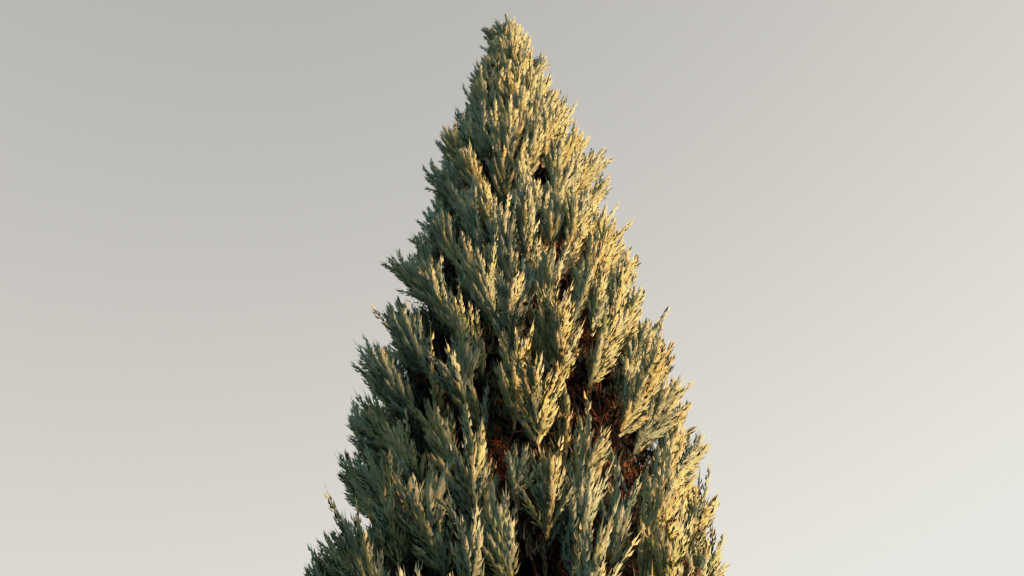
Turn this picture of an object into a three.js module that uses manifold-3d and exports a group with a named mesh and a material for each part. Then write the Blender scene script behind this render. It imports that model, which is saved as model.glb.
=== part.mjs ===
// A columnar cypress tree, rooted in level ground. Millimetres, +Z up.
// The origin is the centre of the flat cut under the trunk. -Y is the side that the tree is seen from.
// Trunk, steep boughs and upright, flame-shaped masses of foliage are each a closed solid of their own.
import * as THREE from "three";
import Module from "manifold-3d";

const wasm = await Module();
wasm.setup();

// ---- Driving dimensions ----
const TREE_HEIGHT = 6000; // ground to the tip of the top mass
const LEAN_AT_TOP = -80; // the tree leans this far towards -X at its tip

const CROWN_RADIUS = 560; // the crown's widest radius, without the blunt tip's share
const CROWN_WIDEST_BELOW_TIP = 4600; // how far below the tip the crown stops widening
const CROWN_FULLNESS = 2.1; // exponent: 1 is a straight cone, more is a fuller flame
const TIP_BLUNTNESS = 25; // radius that the rounded tip adds
const TIP_ROUNDING = 80; // length over which the tip rounds off
const SKIRT_HEIGHT = 900; // below this the crown draws in towards its foot
const SKIRT_DRAW_IN = 0.3; // share of the radius lost at the ground

const TRUNK_RADIUS = 62; // above the root flare
const TRUNK_TIP_RADIUS = 5;
const TRUNK_TOP = 5820; // the leader ends inside the top mass
const ROOT_FLARE = 52; // extra radius at the ground
const ROOT_FLARE_HEIGHT = 95; // the flare falls off by e over this height
const ROOT_LOBES = 4;
const ROOT_LOBE_DEPTH = 0.4; // how far the lobes swell and shrink the flare
const ROOT_OVALNESS = 0.15; // and how far it is longer one way than the other
const TRUNK_TAPER = 0.85; // exponent: 1 is a straight cone
const TRUNK_SIDES = 12;
const TRUNK_RING_STEP = 620; // height between rings above the root flare

const BOUGH_RADIUS = 19; // where a bough leaves the trunk
const BOUGH_END_RADIUS = 11; // where it enters its mass
const BOUGH_RISE = 430; // height from the trunk to the mass
const LOWEST_BOUGH = 170; // no bough leaves the trunk lower than this
const BOUGH_ENTRY = 0.26; // how far up its mass a bough's centre line ends, as a share of the mass's height
const BOUGH_SIDES = 5;
const BOUGH_STEPS = 4;

const CLEARANCE = 0.4; // gap between two pieces that meet
const FURTHEST_SHIFT = 8; // a sharp corner moves at most this many clearances when its faces move by one

// Tiers of foliage from the foot up: lowest and highest point, number of masses round the trunk, their
// thickness and the first one's bearing. Bearings are in degrees, 0 at -Y and 90 at +X. The masses of a
// tier with boughs stand off the trunk, and those of the other tiers close round it.
const TIERS = [
  { foot: 330, top: 1340, count: 5, thickness: 310, bearing: 0, boughs: true },
  { foot: 800, top: 2010, count: 5, thickness: 310, bearing: 36, boughs: true },
  { foot: 1430, top: 2680, count: 5, thickness: 310, bearing: 4, boughs: true },
  { foot: 2080, top: 3340, count: 5, thickness: 300, bearing: 41, boughs: true },
  { foot: 2740, top: 3960, count: 4, thickness: 460, bearing: 10, boughs: false },
  { foot: 3340, top: 4500, count: 4, thickness: 420, bearing: 55, boughs: false },
  { foot: 3900, top: 4980, count: 4, thickness: 360, bearing: 8, boughs: false },
  { foot: 4400, top: 5370, count: 3, thickness: 300, bearing: 30, boughs: false },
  { foot: 4850, top: 5710, count: 3, thickness: 220, bearing: 85, boughs: false },
];
const TOP_MASS = { foot: 5400, top: TREE_HEIGHT };

const MASS_RINGS = 6; // bands from a mass's foot to its tip
const MASS_SIDES = 7;
const SIDE_OVERLAP = 1.2; // neighbours' widths over the room there is, before they are cut clear
const WIDEST_HALF_ANGLE = 1.1; // no mass reaches further round the trunk than this, in radians
const UNEVENNESS = 0.13; // how far a mass swells and shrinks, as a share of its size
const FOOT_TUCK = 0.42; // share of the crown radius that a mass's foot is tucked in by
const FOOT_SCATTER = 70; // masses of one tier start and end higher or lower by this much
const TOP_SCATTER = 110;
const SIDE_SCATTER = 0.12; // and are turned or widened by this share of their room
const MASS_SHOULDER = 0.6; // exponent: less makes a mass blunter at its foot
const MASS_POINT = 0.8; // and this one at its tip
const TIP_FLARE = 22; // the tip of a mass stands this far proud of the crown's surface

const BARK = new THREE.MeshStandardMaterial({ color: 0x6f5a48, roughness: 0.95, metalness: 0 });
const GREEN = new THREE.MeshStandardMaterial({ color: 0x76836a, roughness: 0.85, metalness: 0 });
const SUNLIT = new THREE.MeshStandardMaterial({ color: 0x8c906b, roughness: 0.85, metalness: 0 });

// ---- Solids ----
// A closed surface from rings of points, with a point at each end. Rings run anticlockwise seen from above.
function loft(lowPole, rings, highPole) {
  const points = [lowPole, ...rings.flat(), highPole];
  const sides = rings[0].length;
  const last = points.length - 1;
  const faces = [];
  for (let i = 0; i < sides; i++) {
    const j = (i + 1) % sides;
    faces.push(0, 1 + j, 1 + i);
    for (let k = 0; k < rings.length - 1; k++) {
      const low = 1 + k * sides;
      const high = low + sides;
      faces.push(low + i, low + j, high + j, low + i, high + j, high + i);
    }
    faces.push(last - sides + i, last - sides + j, last);
  }
  return { points, faces, sides, ends: [[0, 1], [last, last - sides]] };
}

// The average direction of a corner's faces, lengthened so that moving it moves each face out by 1.
function cornerShift(normals) {
  const mean = normals.reduce((sum, n) => sum.add(n), new THREE.Vector3()).normalize();
  const least = Math.min(...normals.map((n) => n.dot(mean)));
  return mean.divideScalar(Math.max(least, 1 / FURTHEST_SHIFT));
}

// A lofted surface as a solid, with its faces moved out by grow. An end point that isn't level with the
// ring beside it is sharp, so it moves straight away from that ring.
function toSolid(surface, grow) {
  const { points, faces, sides, ends } = surface;
  const normals = points.map(() => []);
  for (let i = 0; i < faces.length; i += 3) {
    const face = faces.slice(i, i + 3);
    const corners = face.map((k) => points[k]);
    const normal = new THREE.Triangle(...corners).getNormal(new THREE.Vector3());
    for (const k of face) normals[k].push(normal);
  }
  const shifts = normals.map(cornerShift);
  for (const [end, first] of ends) {
    const ring = points.slice(first, first + sides);
    const middle = ring.reduce((sum, p) => sum.add(p), new THREE.Vector3()).divideScalar(ring.length);
    const away = new THREE.Vector3().subVectors(points[end], middle);
    if (away.length() > CLEARANCE) shifts[end] = away.setLength(FURTHEST_SHIFT);
  }
  const corners = points.map((p, i) => p.clone().addScaledVector(shifts[i], grow));
  return new wasm.Manifold(
    new wasm.Mesh({
      numProp: 3,
      vertProperties: new Float32Array(corners.flatMap((p) => p.toArray())),
      triVerts: new Uint32Array(faces),
    }),
  );
}

function toGeometry(solid) {
  const { vertProperties, triVerts } = solid.getMesh();
  const geometry = new THREE.BufferGeometry();
  geometry.setAttribute("position", new THREE.BufferAttribute(vertProperties, 3));
  geometry.setIndex(new THREE.BufferAttribute(triVerts, 1));
  geometry.computeVertexNormals();
  return geometry;
}

// A cut can leave slivers beside the main body, which fall away.
function largestPiece(solid) {
  return solid.decompose().reduce((a, b) => (b.volume() > a.volume() ? b : a));
}

// ---- The tree's outline ----
// The centre of trunk and crown at a height.
function centre(z) {
  const share = z / TREE_HEIGHT;
  return new THREE.Vector3(
    LEAN_AT_TOP * share + 7 * Math.sin(4.5 * share),
    9 * Math.sin(5.5 * share),
    z,
  );
}

function crownRadius(z) {
  const below = Math.max(TREE_HEIGHT - z, 0);
  const left = Math.max(1 - below / CROWN_WIDEST_BELOW_TIP, 0);
  const radius =
    CROWN_RADIUS * (1 - left ** CROWN_FULLNESS) +
    TIP_BLUNTNESS * (1 - Math.exp(-below / TIP_ROUNDING));
  const drawn = Math.max(1 - z / SKIRT_HEIGHT, 0);
  return radius * (1 - SKIRT_DRAW_IN * drawn * drawn);
}

// A point at a bearing and distance from the centre line.
function around(z, bearing, distance) {
  const c = centre(z);
  return new THREE.Vector3(
    c.x + distance * Math.sin(bearing),
    c.y - distance * Math.cos(bearing),
    z,
  );
}

// ---- Trunk ----
function trunkRadius(z) {
  const share = 1 - z / TRUNK_TOP;
  return TRUNK_TIP_RADIUS + (TRUNK_RADIUS - TRUNK_TIP_RADIUS) * share ** TRUNK_TAPER;
}

function trunkShape() {
  const heights = [0, 0.3, 0.8, 1.5, 2.5, 4.2].map((share) => share * ROOT_FLARE_HEIGHT);
  for (let z = 800; z < TRUNK_TOP; z += TRUNK_RING_STEP) heights.push(z);
  heights.push(TRUNK_TOP);
  const rings = heights.map((z) => {
    const flare = ROOT_FLARE * Math.exp(-z / ROOT_FLARE_HEIGHT);
    return Array.from({ length: TRUNK_SIDES }, (_, i) => {
      const turn = (i / TRUNK_SIDES) * 2 * Math.PI;
      const lobe =
        1 + ROOT_LOBE_DEPTH * Math.cos(ROOT_LOBES * turn + 0.7) + ROOT_OVALNESS * Math.cos(2 * turn);
      return around(z, turn, trunkRadius(z) + flare * lobe);
    });
  });
  return loft(centre(0), rings, centre(TRUNK_TOP));
}

// ---- Foliage ----
// 0 at the foot, 1 where the mass is fullest and 0 at the pointed tip.
function flame(t) {
  const fullest = MASS_SHOULDER / (MASS_SHOULDER + MASS_POINT);
  const shape = (at) => at ** MASS_SHOULDER * (1 - at) ** MASS_POINT;
  return shape(t) / shape(fullest);
}

// A mass leans out from a tucked-in foot to a tip that stands a little proud of the crown.
function outerFace(mass, t) {
  const z = mass.foot + (mass.top - mass.foot) * t;
  return crownRadius(z) * (1 - FOOT_TUCK * (1 - t) ** 3) * mass.reach + TIP_FLARE * t * t;
}

function massShape(mass) {
  const rings = [];
  for (let k = 1; k < MASS_RINGS; k++) {
    const t = k / MASS_RINGS;
    const z = mass.foot + (mass.top - mass.foot) * t;
    const outer = outerFace(mass, t);
    const inner = Math.max(outer - mass.thickness * flame(t), trunkRadius(z) * 0.6);
    const spread = mass.halfAngle * flame(t);
    const ring = [];
    for (let i = 0; i < MASS_SIDES; i++) {
      const turn = (i / MASS_SIDES) * 2 * Math.PI;
      const waves =
        Math.sin(3 * turn + mass.seed + 5 * t) + Math.sin(11 * t + 2 * mass.seed) * Math.cos(2 * turn);
      const swell = 1 + UNEVENNESS * waves;
      const middle = (outer + inner) / 2;
      const depth = ((outer - inner) / 2) * Math.min(swell, 1.12);
      ring.push(
        around(
          z,
          mass.bearing - spread * swell * Math.cos(turn),
          Math.max(middle + depth * Math.sin(turn), trunkRadius(z) * 0.5),
        ),
      );
    }
    rings.push(ring);
  }
  const low = around(mass.foot, mass.bearing, outerFace(mass, 0));
  const high = around(mass.top, mass.bearing, outerFace(mass, 1));
  return loft(low, rings, high);
}

// The top mass closes round the leader.
function topMassShape() {
  const length = TOP_MASS.top - TOP_MASS.foot;
  const rings = [];
  for (let k = 1; k <= MASS_RINGS; k++) {
    const t = (k - 0.5) / MASS_RINGS;
    const z = TOP_MASS.foot + length * t;
    const radius = crownRadius(z) * Math.min(1, 0.45 + 2.2 * t);
    rings.push(
      Array.from({ length: MASS_SIDES }, (_, i) => {
        const turn = (i / MASS_SIDES) * 2 * Math.PI;
        return around(z, turn, radius * (1 + UNEVENNESS * Math.sin(3 * turn + 9 * t)));
      }),
    );
  }
  return loft(centre(TOP_MASS.foot), rings, centre(TOP_MASS.top));
}

function massesOf(tier, level) {
  const step = (2 * Math.PI) / tier.count;
  return Array.from({ length: tier.count }, (_, i) => {
    const seed = 1.7 * level + 2.9 * i;
    const widened = 1 + SIDE_SCATTER * Math.sin(6.1 * seed);
    return {
      name: `${level + 1}_${i + 1}`,
      level,
      foot: tier.foot + FOOT_SCATTER * Math.sin(3.1 * seed),
      top: tier.top + TOP_SCATTER * Math.sin(2.3 * seed + 1),
      bearing: THREE.MathUtils.degToRad(tier.bearing) + step * (i + SIDE_SCATTER * Math.sin(4.7 * seed)),
      halfAngle: Math.min((step / 2) * SIDE_OVERLAP * widened, WIDEST_HALF_ANGLE),
      thickness: tier.thickness,
      reach: 1 + 0.02 * Math.sin(5.3 * seed + 2),
      seed,
    };
  });
}

// ---- Boughs ----
// A limb that leaves the trunk, reaches out and turns up into the inner side of its mass.
function boughShape(mass) {
  const z = mass.foot + (mass.top - mass.foot) * BOUGH_ENTRY;
  const start = Math.max(z - BOUGH_RISE, LOWEST_BOUGH);
  const reach = outerFace(mass, BOUGH_ENTRY) - mass.thickness / 2;
  const path = new THREE.QuadraticBezierCurve3(
    centre(start),
    around(start + 0.25 * (z - start), mass.bearing, reach * 0.72),
    around(z, mass.bearing, reach),
  );
  const rings = [];
  for (let k = 0; k <= BOUGH_STEPS; k++) {
    const at = k / BOUGH_STEPS;
    const p = path.getPoint(at);
    const along = path.getTangent(at);
    const across = new THREE.Vector3(Math.cos(mass.bearing), Math.sin(mass.bearing), 0);
    const third = new THREE.Vector3().crossVectors(along, across).normalize();
    const radius = THREE.MathUtils.lerp(BOUGH_RADIUS, BOUGH_END_RADIUS, at);
    rings.push(
      Array.from({ length: BOUGH_SIDES }, (_, i) => {
        const turn = (i / BOUGH_SIDES) * 2 * Math.PI;
        return p
          .clone()
          .addScaledVector(across, radius * Math.cos(turn))
          .addScaledVector(third, radius * Math.sin(turn));
      }),
    );
  }
  return loft(path.getPoint(0), rings, path.getPoint(1));
}

// ---- Assembly ----
const tree = new THREE.Group();
function addPiece(name, solid, material) {
  const mesh = new THREE.Mesh(toGeometry(solid), material);
  mesh.name = name;
  tree.add(mesh);
}

addPiece("trunk", toSolid(trunkShape(), 0), BARK);
const trunkRoom = toSolid(trunkShape(), CLEARANCE);

const masses = TIERS.flatMap(massesOf).map((mass) => ({
  ...mass,
  room: toSolid(massShape(mass), CLEARANCE),
  bough: TIERS[mass.level].boughs ? boughShape(mass) : null,
}));

// The masses are cut round the trunk and round the boughs of their neighbours. Lower masses stand in
// front of the feet of the ones above, so each is also cut by those before it.
let taken = trunkRoom;
for (const mass of masses) {
  const passing = masses.filter((other) => other.bough && other !== mass);
  let solid = toSolid(massShape(mass), 0).subtract(taken);
  for (const other of passing) solid = solid.subtract(toSolid(other.bough, CLEARANCE));
  addPiece(`foliage_${mass.name}`, largestPiece(solid), mass.level % 2 ? SUNLIT : GREEN);
  taken = taken.add(mass.room);
  if (!mass.bough) continue;
  const bough = toSolid(mass.bough, 0).subtract(trunkRoom).subtract(mass.room);
  addPiece(`bough_${mass.name}`, largestPiece(bough), BARK);
}
addPiece("foliage_top", largestPiece(toSolid(topMassShape(), 0).subtract(taken)), GREEN);

export default tree;
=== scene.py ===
# A columnar cypress: a bark-covered trunk and boughs, limbs and branches that grow on from them inside
# each mass of foliage, upright lobes of feathery plumes on the outside, and shaded and dead sprays behind.
import math

import bpy
import numpy as np
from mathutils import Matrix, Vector, noise
from mathutils.bvhtree import BVHTree


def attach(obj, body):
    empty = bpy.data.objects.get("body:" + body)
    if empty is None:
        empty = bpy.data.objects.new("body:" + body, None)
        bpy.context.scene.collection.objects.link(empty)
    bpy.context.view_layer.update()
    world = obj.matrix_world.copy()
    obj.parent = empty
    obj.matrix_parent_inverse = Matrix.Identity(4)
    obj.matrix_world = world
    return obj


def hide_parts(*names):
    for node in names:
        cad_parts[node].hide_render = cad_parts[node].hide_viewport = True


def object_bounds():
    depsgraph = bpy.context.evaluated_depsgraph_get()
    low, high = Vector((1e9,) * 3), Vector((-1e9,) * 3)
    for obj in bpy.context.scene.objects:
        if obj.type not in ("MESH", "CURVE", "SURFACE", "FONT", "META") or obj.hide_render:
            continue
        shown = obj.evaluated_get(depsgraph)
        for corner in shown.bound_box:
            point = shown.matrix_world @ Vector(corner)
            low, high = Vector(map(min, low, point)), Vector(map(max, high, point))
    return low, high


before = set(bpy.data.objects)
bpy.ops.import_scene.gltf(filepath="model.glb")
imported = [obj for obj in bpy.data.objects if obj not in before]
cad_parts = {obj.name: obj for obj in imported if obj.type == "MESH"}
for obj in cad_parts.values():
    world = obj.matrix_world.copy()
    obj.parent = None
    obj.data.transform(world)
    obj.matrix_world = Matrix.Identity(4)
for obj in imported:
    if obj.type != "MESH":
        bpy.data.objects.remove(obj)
cad_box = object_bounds()

# ---------------------------------------------------------------------------------------------------
# Trunk
# One stem from the ground to the leader inside the top of the crown. The thin, fibrous bark is
# grey-brown, and parts in long upright strips. It is wider and lobed where the roots leave it.
# ---------------------------------------------------------------------------------------------------
TRUNK_SIDES = 96
TRUNK_FINE_STEP = 0.018  # height between rings where the trunk is bare
TRUNK_COARSE_STEP = 0.09  # and where it is hidden in the crown
BARE_HEIGHT = 0.75
STRIP_WIDTH = 0.011
STRIP_STRETCH = 9  # a strip's length over its width
STRIP_EDGE = 2.2  # more makes the strips narrower against their furrows
STRIP_SHARE, TORN_SHARE = 0.8, 0.25  # of the relief, for the strips and for their torn surface
TORN_FINENESS = 2.7
TORN_PLACE = Vector((7, 3, 5))  # anywhere, so that the tears don't follow the strips
RIDGE_HEIGHT = 0.0045  # on the bare trunk; less further up
RIDGE_MIDDLE = 0.5  # strips above this stand out, and below it sink in
FULL_RELIEF_RADIUS = 0.06  # of the trunk; where it is thinner, so is its relief
FIRST_RADIUS = 0.1  # of the rings, before each takes its own
SHARP_EDGE = math.radians(50)
TRUNK_FURROW, TRUNK_STRIP = (0.024, 0.023, 0.022), (0.08, 0.085, 0.085)
TRUNK_FINENESS = 70
TRUNK_GRAIN_DEPTH = 0.003


def node_points(node):
    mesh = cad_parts[node].data
    points = np.empty(len(mesh.vertices) * 3)
    mesh.vertices.foreach_get("co", points)
    return points.reshape(-1, 3)


def node_triangles(node):
    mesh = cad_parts[node].data
    mesh.calc_loop_triangles()
    corners = np.empty(len(mesh.loop_triangles) * 3, np.int32)
    mesh.loop_triangles.foreach_get("vertices", corners)
    return node_points(node)[corners].reshape(-1, 3, 3)


def deselect_all():
    for obj in bpy.context.selected_objects:
        obj.select_set(False)


def activate(obj):
    deselect_all()
    obj.select_set(True)
    bpy.context.view_layer.objects.active = obj


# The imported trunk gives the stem's line and thickness: its corners lie on level rings.
trunk_corners = np.unique(np.round(node_points("trunk"), 5), axis=0)
ring_heights = np.unique(np.round(trunk_corners[:, 2], 3))
ring_corners = [trunk_corners[np.abs(trunk_corners[:, 2] - z) < 0.001] for z in ring_heights]
ring_centres = np.array([(c.max(0) + c.min(0))[:2] / 2 for c in ring_corners])
TREE_TOP = cad_box[1].z


def stem_centre(z):
    """The middle of the trunk, and of the crown, at each height."""
    z = np.asarray(z, float)
    beyond = np.maximum(z - ring_heights[-1], 0)[..., None]
    lean = (ring_centres[-1] - ring_centres[-3]) / (ring_heights[-1] - ring_heights[-3])
    inside = np.stack([np.interp(z, ring_heights, ring_centres[:, k]) for k in (0, 1)], -1)
    return np.concatenate([inside + beyond * lean, z[..., None]], -1)


def stem_radius(z, turn):
    """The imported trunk's radius at a height and angle."""
    radii = []
    for corners, centre in zip(ring_corners, ring_centres):
        out = corners[:, :2] - centre
        far = np.hypot(*out.T) > 0.001
        angles = np.arctan2(out[far, 1], out[far, 0])
        order = np.argsort(angles)
        radii.append(np.interp(turn, angles[order], np.hypot(*out[far].T)[order], period=2 * math.pi))
    return np.array([np.interp(z_i, ring_heights, column) for z_i, column in zip(z, np.array(radii).T)])


def strips(point, centre, width):
    """Height of the bark's strips at a point of the surface, from 0 in a furrow to 1 on a ridge."""
    out = point - centre
    place = Vector((out[0], out[1], point[2] / STRIP_STRETCH)) / width
    ridged = 1 - abs(noise.noise(place)) * STRIP_EDGE
    torn = noise.noise(place * TORN_FINENESS + TORN_PLACE)
    return max(ridged, 0) * STRIP_SHARE + torn * TORN_SHARE


fine_heights = np.arange(0, BARE_HEIGHT, TRUNK_FINE_STEP)
coarse_heights = np.arange(BARE_HEIGHT, ring_heights[-1], TRUNK_COARSE_STEP)
trunk_heights = np.concatenate([fine_heights, coarse_heights, ring_heights[-1:]])

deselect_all()
bpy.ops.mesh.primitive_circle_add(
    vertices=TRUNK_SIDES, radius=FIRST_RADIUS, fill_type="NGON", location=stem_centre(0)
)
trunk = bpy.context.object
trunk.name = "trunk_bark"
bpy.ops.object.mode_set(mode="EDIT")
bpy.ops.mesh.select_all(action="SELECT")
for low, high in zip(trunk_heights[:-1], trunk_heights[1:]):
    step = stem_centre(high) - stem_centre(low)
    bpy.ops.mesh.extrude_region_move(TRANSFORM_OT_translate={"value": tuple(step)})
bpy.ops.mesh.select_all(action="SELECT")
bpy.ops.mesh.normals_make_consistent(inside=False)
bpy.ops.object.mode_set(mode="OBJECT")
bpy.ops.object.transform_apply(location=True, rotation=True, scale=True)

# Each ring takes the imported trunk's radius, and then the bark's relief.
bark_points = np.empty(len(trunk.data.vertices) * 3)
trunk.data.vertices.foreach_get("co", bark_points)
bark_points = bark_points.reshape(-1, 3)
bark_centres = stem_centre(bark_points[:, 2])
bark_out = bark_points - bark_centres
bark_out /= np.linalg.norm(bark_out, axis=1)[:, None]
bark_radius = stem_radius(bark_points[:, 2], np.arctan2(bark_out[:, 1], bark_out[:, 0]))
relief = RIDGE_HEIGHT * np.minimum(1, bark_radius / FULL_RELIEF_RADIUS)
surface = bark_centres + bark_out * bark_radius[:, None]
ridge = np.array([strips(p, c, STRIP_WIDTH) for p, c in zip(surface, bark_centres)])
bark_points = surface + bark_out * (relief * (ridge - RIDGE_MIDDLE))[:, None]
trunk.data.vertices.foreach_set("co", bark_points.ravel())
trunk.data.update()
activate(trunk)
bpy.ops.object.shade_smooth_by_angle(angle=SHARP_EDGE)


def bark_grain_group():
    """Stretched fibres and blotches: a colour and a height, both from Object coordinates."""
    group = bpy.data.node_groups.new("bark_grain", "ShaderNodeTree")
    for name, default in (("Furrow", (0.05, 0.03, 0.02, 1)), ("Strip", (0.2, 0.14, 0.1, 1))):
        socket = group.interface.new_socket(name=name, in_out="INPUT", socket_type="NodeSocketColor")
        socket.default_value = default
    socket = group.interface.new_socket(name="Fineness", in_out="INPUT", socket_type="NodeSocketFloat")
    socket.default_value = 60
    group.interface.new_socket(name="Color", in_out="OUTPUT", socket_type="NodeSocketColor")
    group.interface.new_socket(name="Height", in_out="OUTPUT", socket_type="NodeSocketFloat")
    nodes, links = group.nodes, group.links
    given = nodes.new("NodeGroupInput")
    put_out = nodes.new("NodeGroupOutput")
    place = nodes.new("ShaderNodeTexCoord")
    stretch = nodes.new("ShaderNodeMapping")
    stretch.inputs["Scale"].default_value = (1, 1, 1 / STRIP_STRETCH)
    links.new(place.outputs["Object"], stretch.inputs["Vector"])
    fibres = nodes.new("ShaderNodeTexNoise")
    fibres.inputs["Detail"].default_value = 6
    fibres.inputs["Roughness"].default_value = 0.62
    links.new(stretch.outputs["Vector"], fibres.inputs["Vector"])
    links.new(given.outputs["Fineness"], fibres.inputs["Scale"])
    blotches = nodes.new("ShaderNodeTexNoise")
    blotches.inputs["Scale"].default_value = 9
    blotches.inputs["Detail"].default_value = 3
    links.new(place.outputs["Object"], blotches.inputs["Vector"])
    ramp = nodes.new("ShaderNodeValToRGB")
    ramp.color_ramp.elements[0].position = 0.36
    ramp.color_ramp.elements[1].position = 0.64
    links.new(fibres.outputs["Fac"], ramp.inputs["Fac"])
    mix = nodes.new("ShaderNodeMix")
    mix.data_type = "RGBA"
    links.new(ramp.outputs["Color"], mix.inputs["Factor"])
    links.new(given.outputs["Furrow"], mix.inputs[6])
    links.new(given.outputs["Strip"], mix.inputs[7])
    shade = nodes.new("ShaderNodeMix")
    shade.data_type = "RGBA"
    shade.blend_type = "MULTIPLY"
    shade.inputs["Factor"].default_value = 0.55
    links.new(mix.outputs[2], shade.inputs[6])
    links.new(blotches.outputs["Color"], shade.inputs[7])
    links.new(shade.outputs[2], put_out.inputs["Color"])
    links.new(fibres.outputs["Fac"], put_out.inputs["Height"])
    return group


bark_grain = bark_grain_group()


def bark_material(name, furrow, strip, fineness, depth):
    material = bpy.data.materials.new(name)
    material.use_nodes = True
    nodes, links = material.node_tree.nodes, material.node_tree.links
    surface_shader = nodes["Principled BSDF"]
    surface_shader.inputs["Roughness"].default_value = 0.92
    surface_shader.inputs["Specular IOR Level"].default_value = 0.25
    grain = nodes.new("ShaderNodeGroup")
    grain.node_tree = bark_grain
    grain.inputs["Furrow"].default_value = (*furrow, 1)
    grain.inputs["Strip"].default_value = (*strip, 1)
    grain.inputs["Fineness"].default_value = fineness
    links.new(grain.outputs["Color"], surface_shader.inputs["Base Color"])
    bump = nodes.new("ShaderNodeBump")
    bump.inputs["Strength"].default_value = 0.8
    bump.inputs["Distance"].default_value = depth
    links.new(grain.outputs["Height"], bump.inputs["Height"])
    links.new(bump.outputs["Normal"], surface_shader.inputs["Normal"])
    return material


trunk.data.materials.append(
    bark_material("trunk_bark", TRUNK_FURROW, TRUNK_STRIP, TRUNK_FINENESS, TRUNK_GRAIN_DEPTH)
)
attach(trunk, "root")
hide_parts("trunk")

# ---------------------------------------------------------------------------------------------------
# Boughs
# Short limbs that leave the trunk below and turn up into the lower masses. Each is young, smoother
# wood with the same stripping bark, grown out of the trunk.
# ---------------------------------------------------------------------------------------------------
BOUGH_STRIP_WIDTH = 0.006
BOUGH_RIDGE_HEIGHT = 0.0016
BOUGH_RIDGE_MIDDLE = 0.3
BOUGH_ROUNDING = 2  # levels
SAME_POINT = 0.0001
BOUGH_FURROW, BOUGH_STRIP = (0.028, 0.02, 0.015), (0.1, 0.085, 0.07)
BOUGH_FINENESS = 110
BOUGH_GRAIN_DEPTH = 0.0015

bough_nodes = sorted(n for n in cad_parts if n.startswith("bough"))
bough_copies = []
for node in bough_nodes:
    copy = bpy.data.objects.new(node + "_bark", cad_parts[node].data.copy())
    copy.data.materials.clear()
    bpy.context.scene.collection.objects.link(copy)
    bough_copies.append(copy)
deselect_all()
for copy in bough_copies:
    copy.select_set(True)
bpy.context.view_layer.objects.active = bough_copies[0]
bpy.ops.object.join()
boughs = bpy.context.object
boughs.name = "boughs_bark"
bpy.ops.object.mode_set(mode="EDIT")
bpy.ops.mesh.select_all(action="SELECT")
bpy.ops.mesh.remove_doubles(threshold=SAME_POINT)
bpy.ops.object.mode_set(mode="OBJECT")
rounding = boughs.modifiers.new("rounding", "SUBSURF")
rounding.levels = BOUGH_ROUNDING
rounding.render_levels = BOUGH_ROUNDING
bpy.ops.object.modifier_apply(modifier=rounding.name)
bough_points = np.empty(len(boughs.data.vertices) * 3)
bough_normals = np.empty(len(boughs.data.vertices) * 3)
boughs.data.vertices.foreach_get("co", bough_points)
boughs.data.vertices.foreach_get("normal", bough_normals)
bough_points = bough_points.reshape(-1, 3)
ridge = np.array([strips(p, np.zeros(3), BOUGH_STRIP_WIDTH) for p in bough_points])
bough_points += bough_normals.reshape(-1, 3) * (BOUGH_RIDGE_HEIGHT * (ridge - BOUGH_RIDGE_MIDDLE))[:, None]
boughs.data.vertices.foreach_set("co", bough_points.ravel())
boughs.data.update()
activate(boughs)
bpy.ops.object.shade_smooth_by_angle(angle=SHARP_EDGE)
boughs.data.materials.append(
    bark_material("bough_bark", BOUGH_FURROW, BOUGH_STRIP, BOUGH_FINENESS, BOUGH_GRAIN_DEPTH)
)
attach(boughs, "root")
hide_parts(*bough_nodes)

# ---------------------------------------------------------------------------------------------------
# Lobes of the crown
# Each mass of foliage is a cluster of steep branches, and each branch ends in an upright, flame-shaped
# lobe at the crown's surface. Here each lobe gets its place, size and line.
# ---------------------------------------------------------------------------------------------------
LOBE_COUNT = 780
LOBE_SIZES = (0.8, 1.25)
LOBE_LENGTH = 0.1  # of its branch; the plumes reach further
LOBE_ABOVE_PLACE = 0.4  # share of a lobe's branch that is higher than the lobe's place
LOBE_END_DEPTHS = (0.03, 0.075)  # of a branch's end below the crown's surface, low down and near the tip
NARROWING = (3, 5.3)  # the heights that these depths stand for
LOBE_FOOT_DEPTH = 0.065  # how much deeper a lobe's branch starts
LOBE_DEPTH_SPREAD = 0.015
LOBE_SQUEEZE = 0.5  # lobes stand closer above each other than beside each other
SMALL_LOBES = (4.3, 5.9)  # between these heights lobes get smaller
SMALLEST_LOBE = 0.5
SWAY = 0.05  # how far a lobe turns round the crown as it rises
LOST_LOBES = 0.03  # share of the lobes that never grew
LOBE_CLEARANCE = 0.27  # from the end of a lobe's branch to the crown's tip
LOBE_MARGIN = 0.04  # and, at the least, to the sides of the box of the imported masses
LOBE_PLACES = 8000  # tried for the lobes
SURFACE_POINTS_PER_M2 = 400
OUTER_FACE = 0.2  # a face is an outer one if it looks at least this far outwards
OPEN_AIR = 0.6  # and it must see this far without meeting another mass
JUST_OFF = 0.003
PROMINENT_LOBES = (  # height, and bearing in degrees from the front towards +X
    (4.7, 0),
    (4.2, 10),
    (4, -10),
    (3.5, 5),
    (3.45, -5),
    (3.4, 30),
    (3.15, -5),
    (3.1, 10),
    (3.05, 15),
    (2.95, 40),
    (2.9, -15),
    (2.85, 5),
    (2.65, 15),
    (2.55, -15),
    (2.55, 5),
)
PROMINENCE = 0.05  # how far these lobes stand out
BROWN_SPOTS = (  # gaps with dead twigs: height, bearing and radius
    (3.6, 20, 0.045),
    (3.25, 15, 0.045),
    (3.2, 25, 0.06),
    (2.9, 25, 0.085),
    (2.7, 35, 0.05),
    (2.75, -10, 0.035),
    (2.45, 20, 0.045),
    (2.5, 40, 0.055),
)
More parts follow.
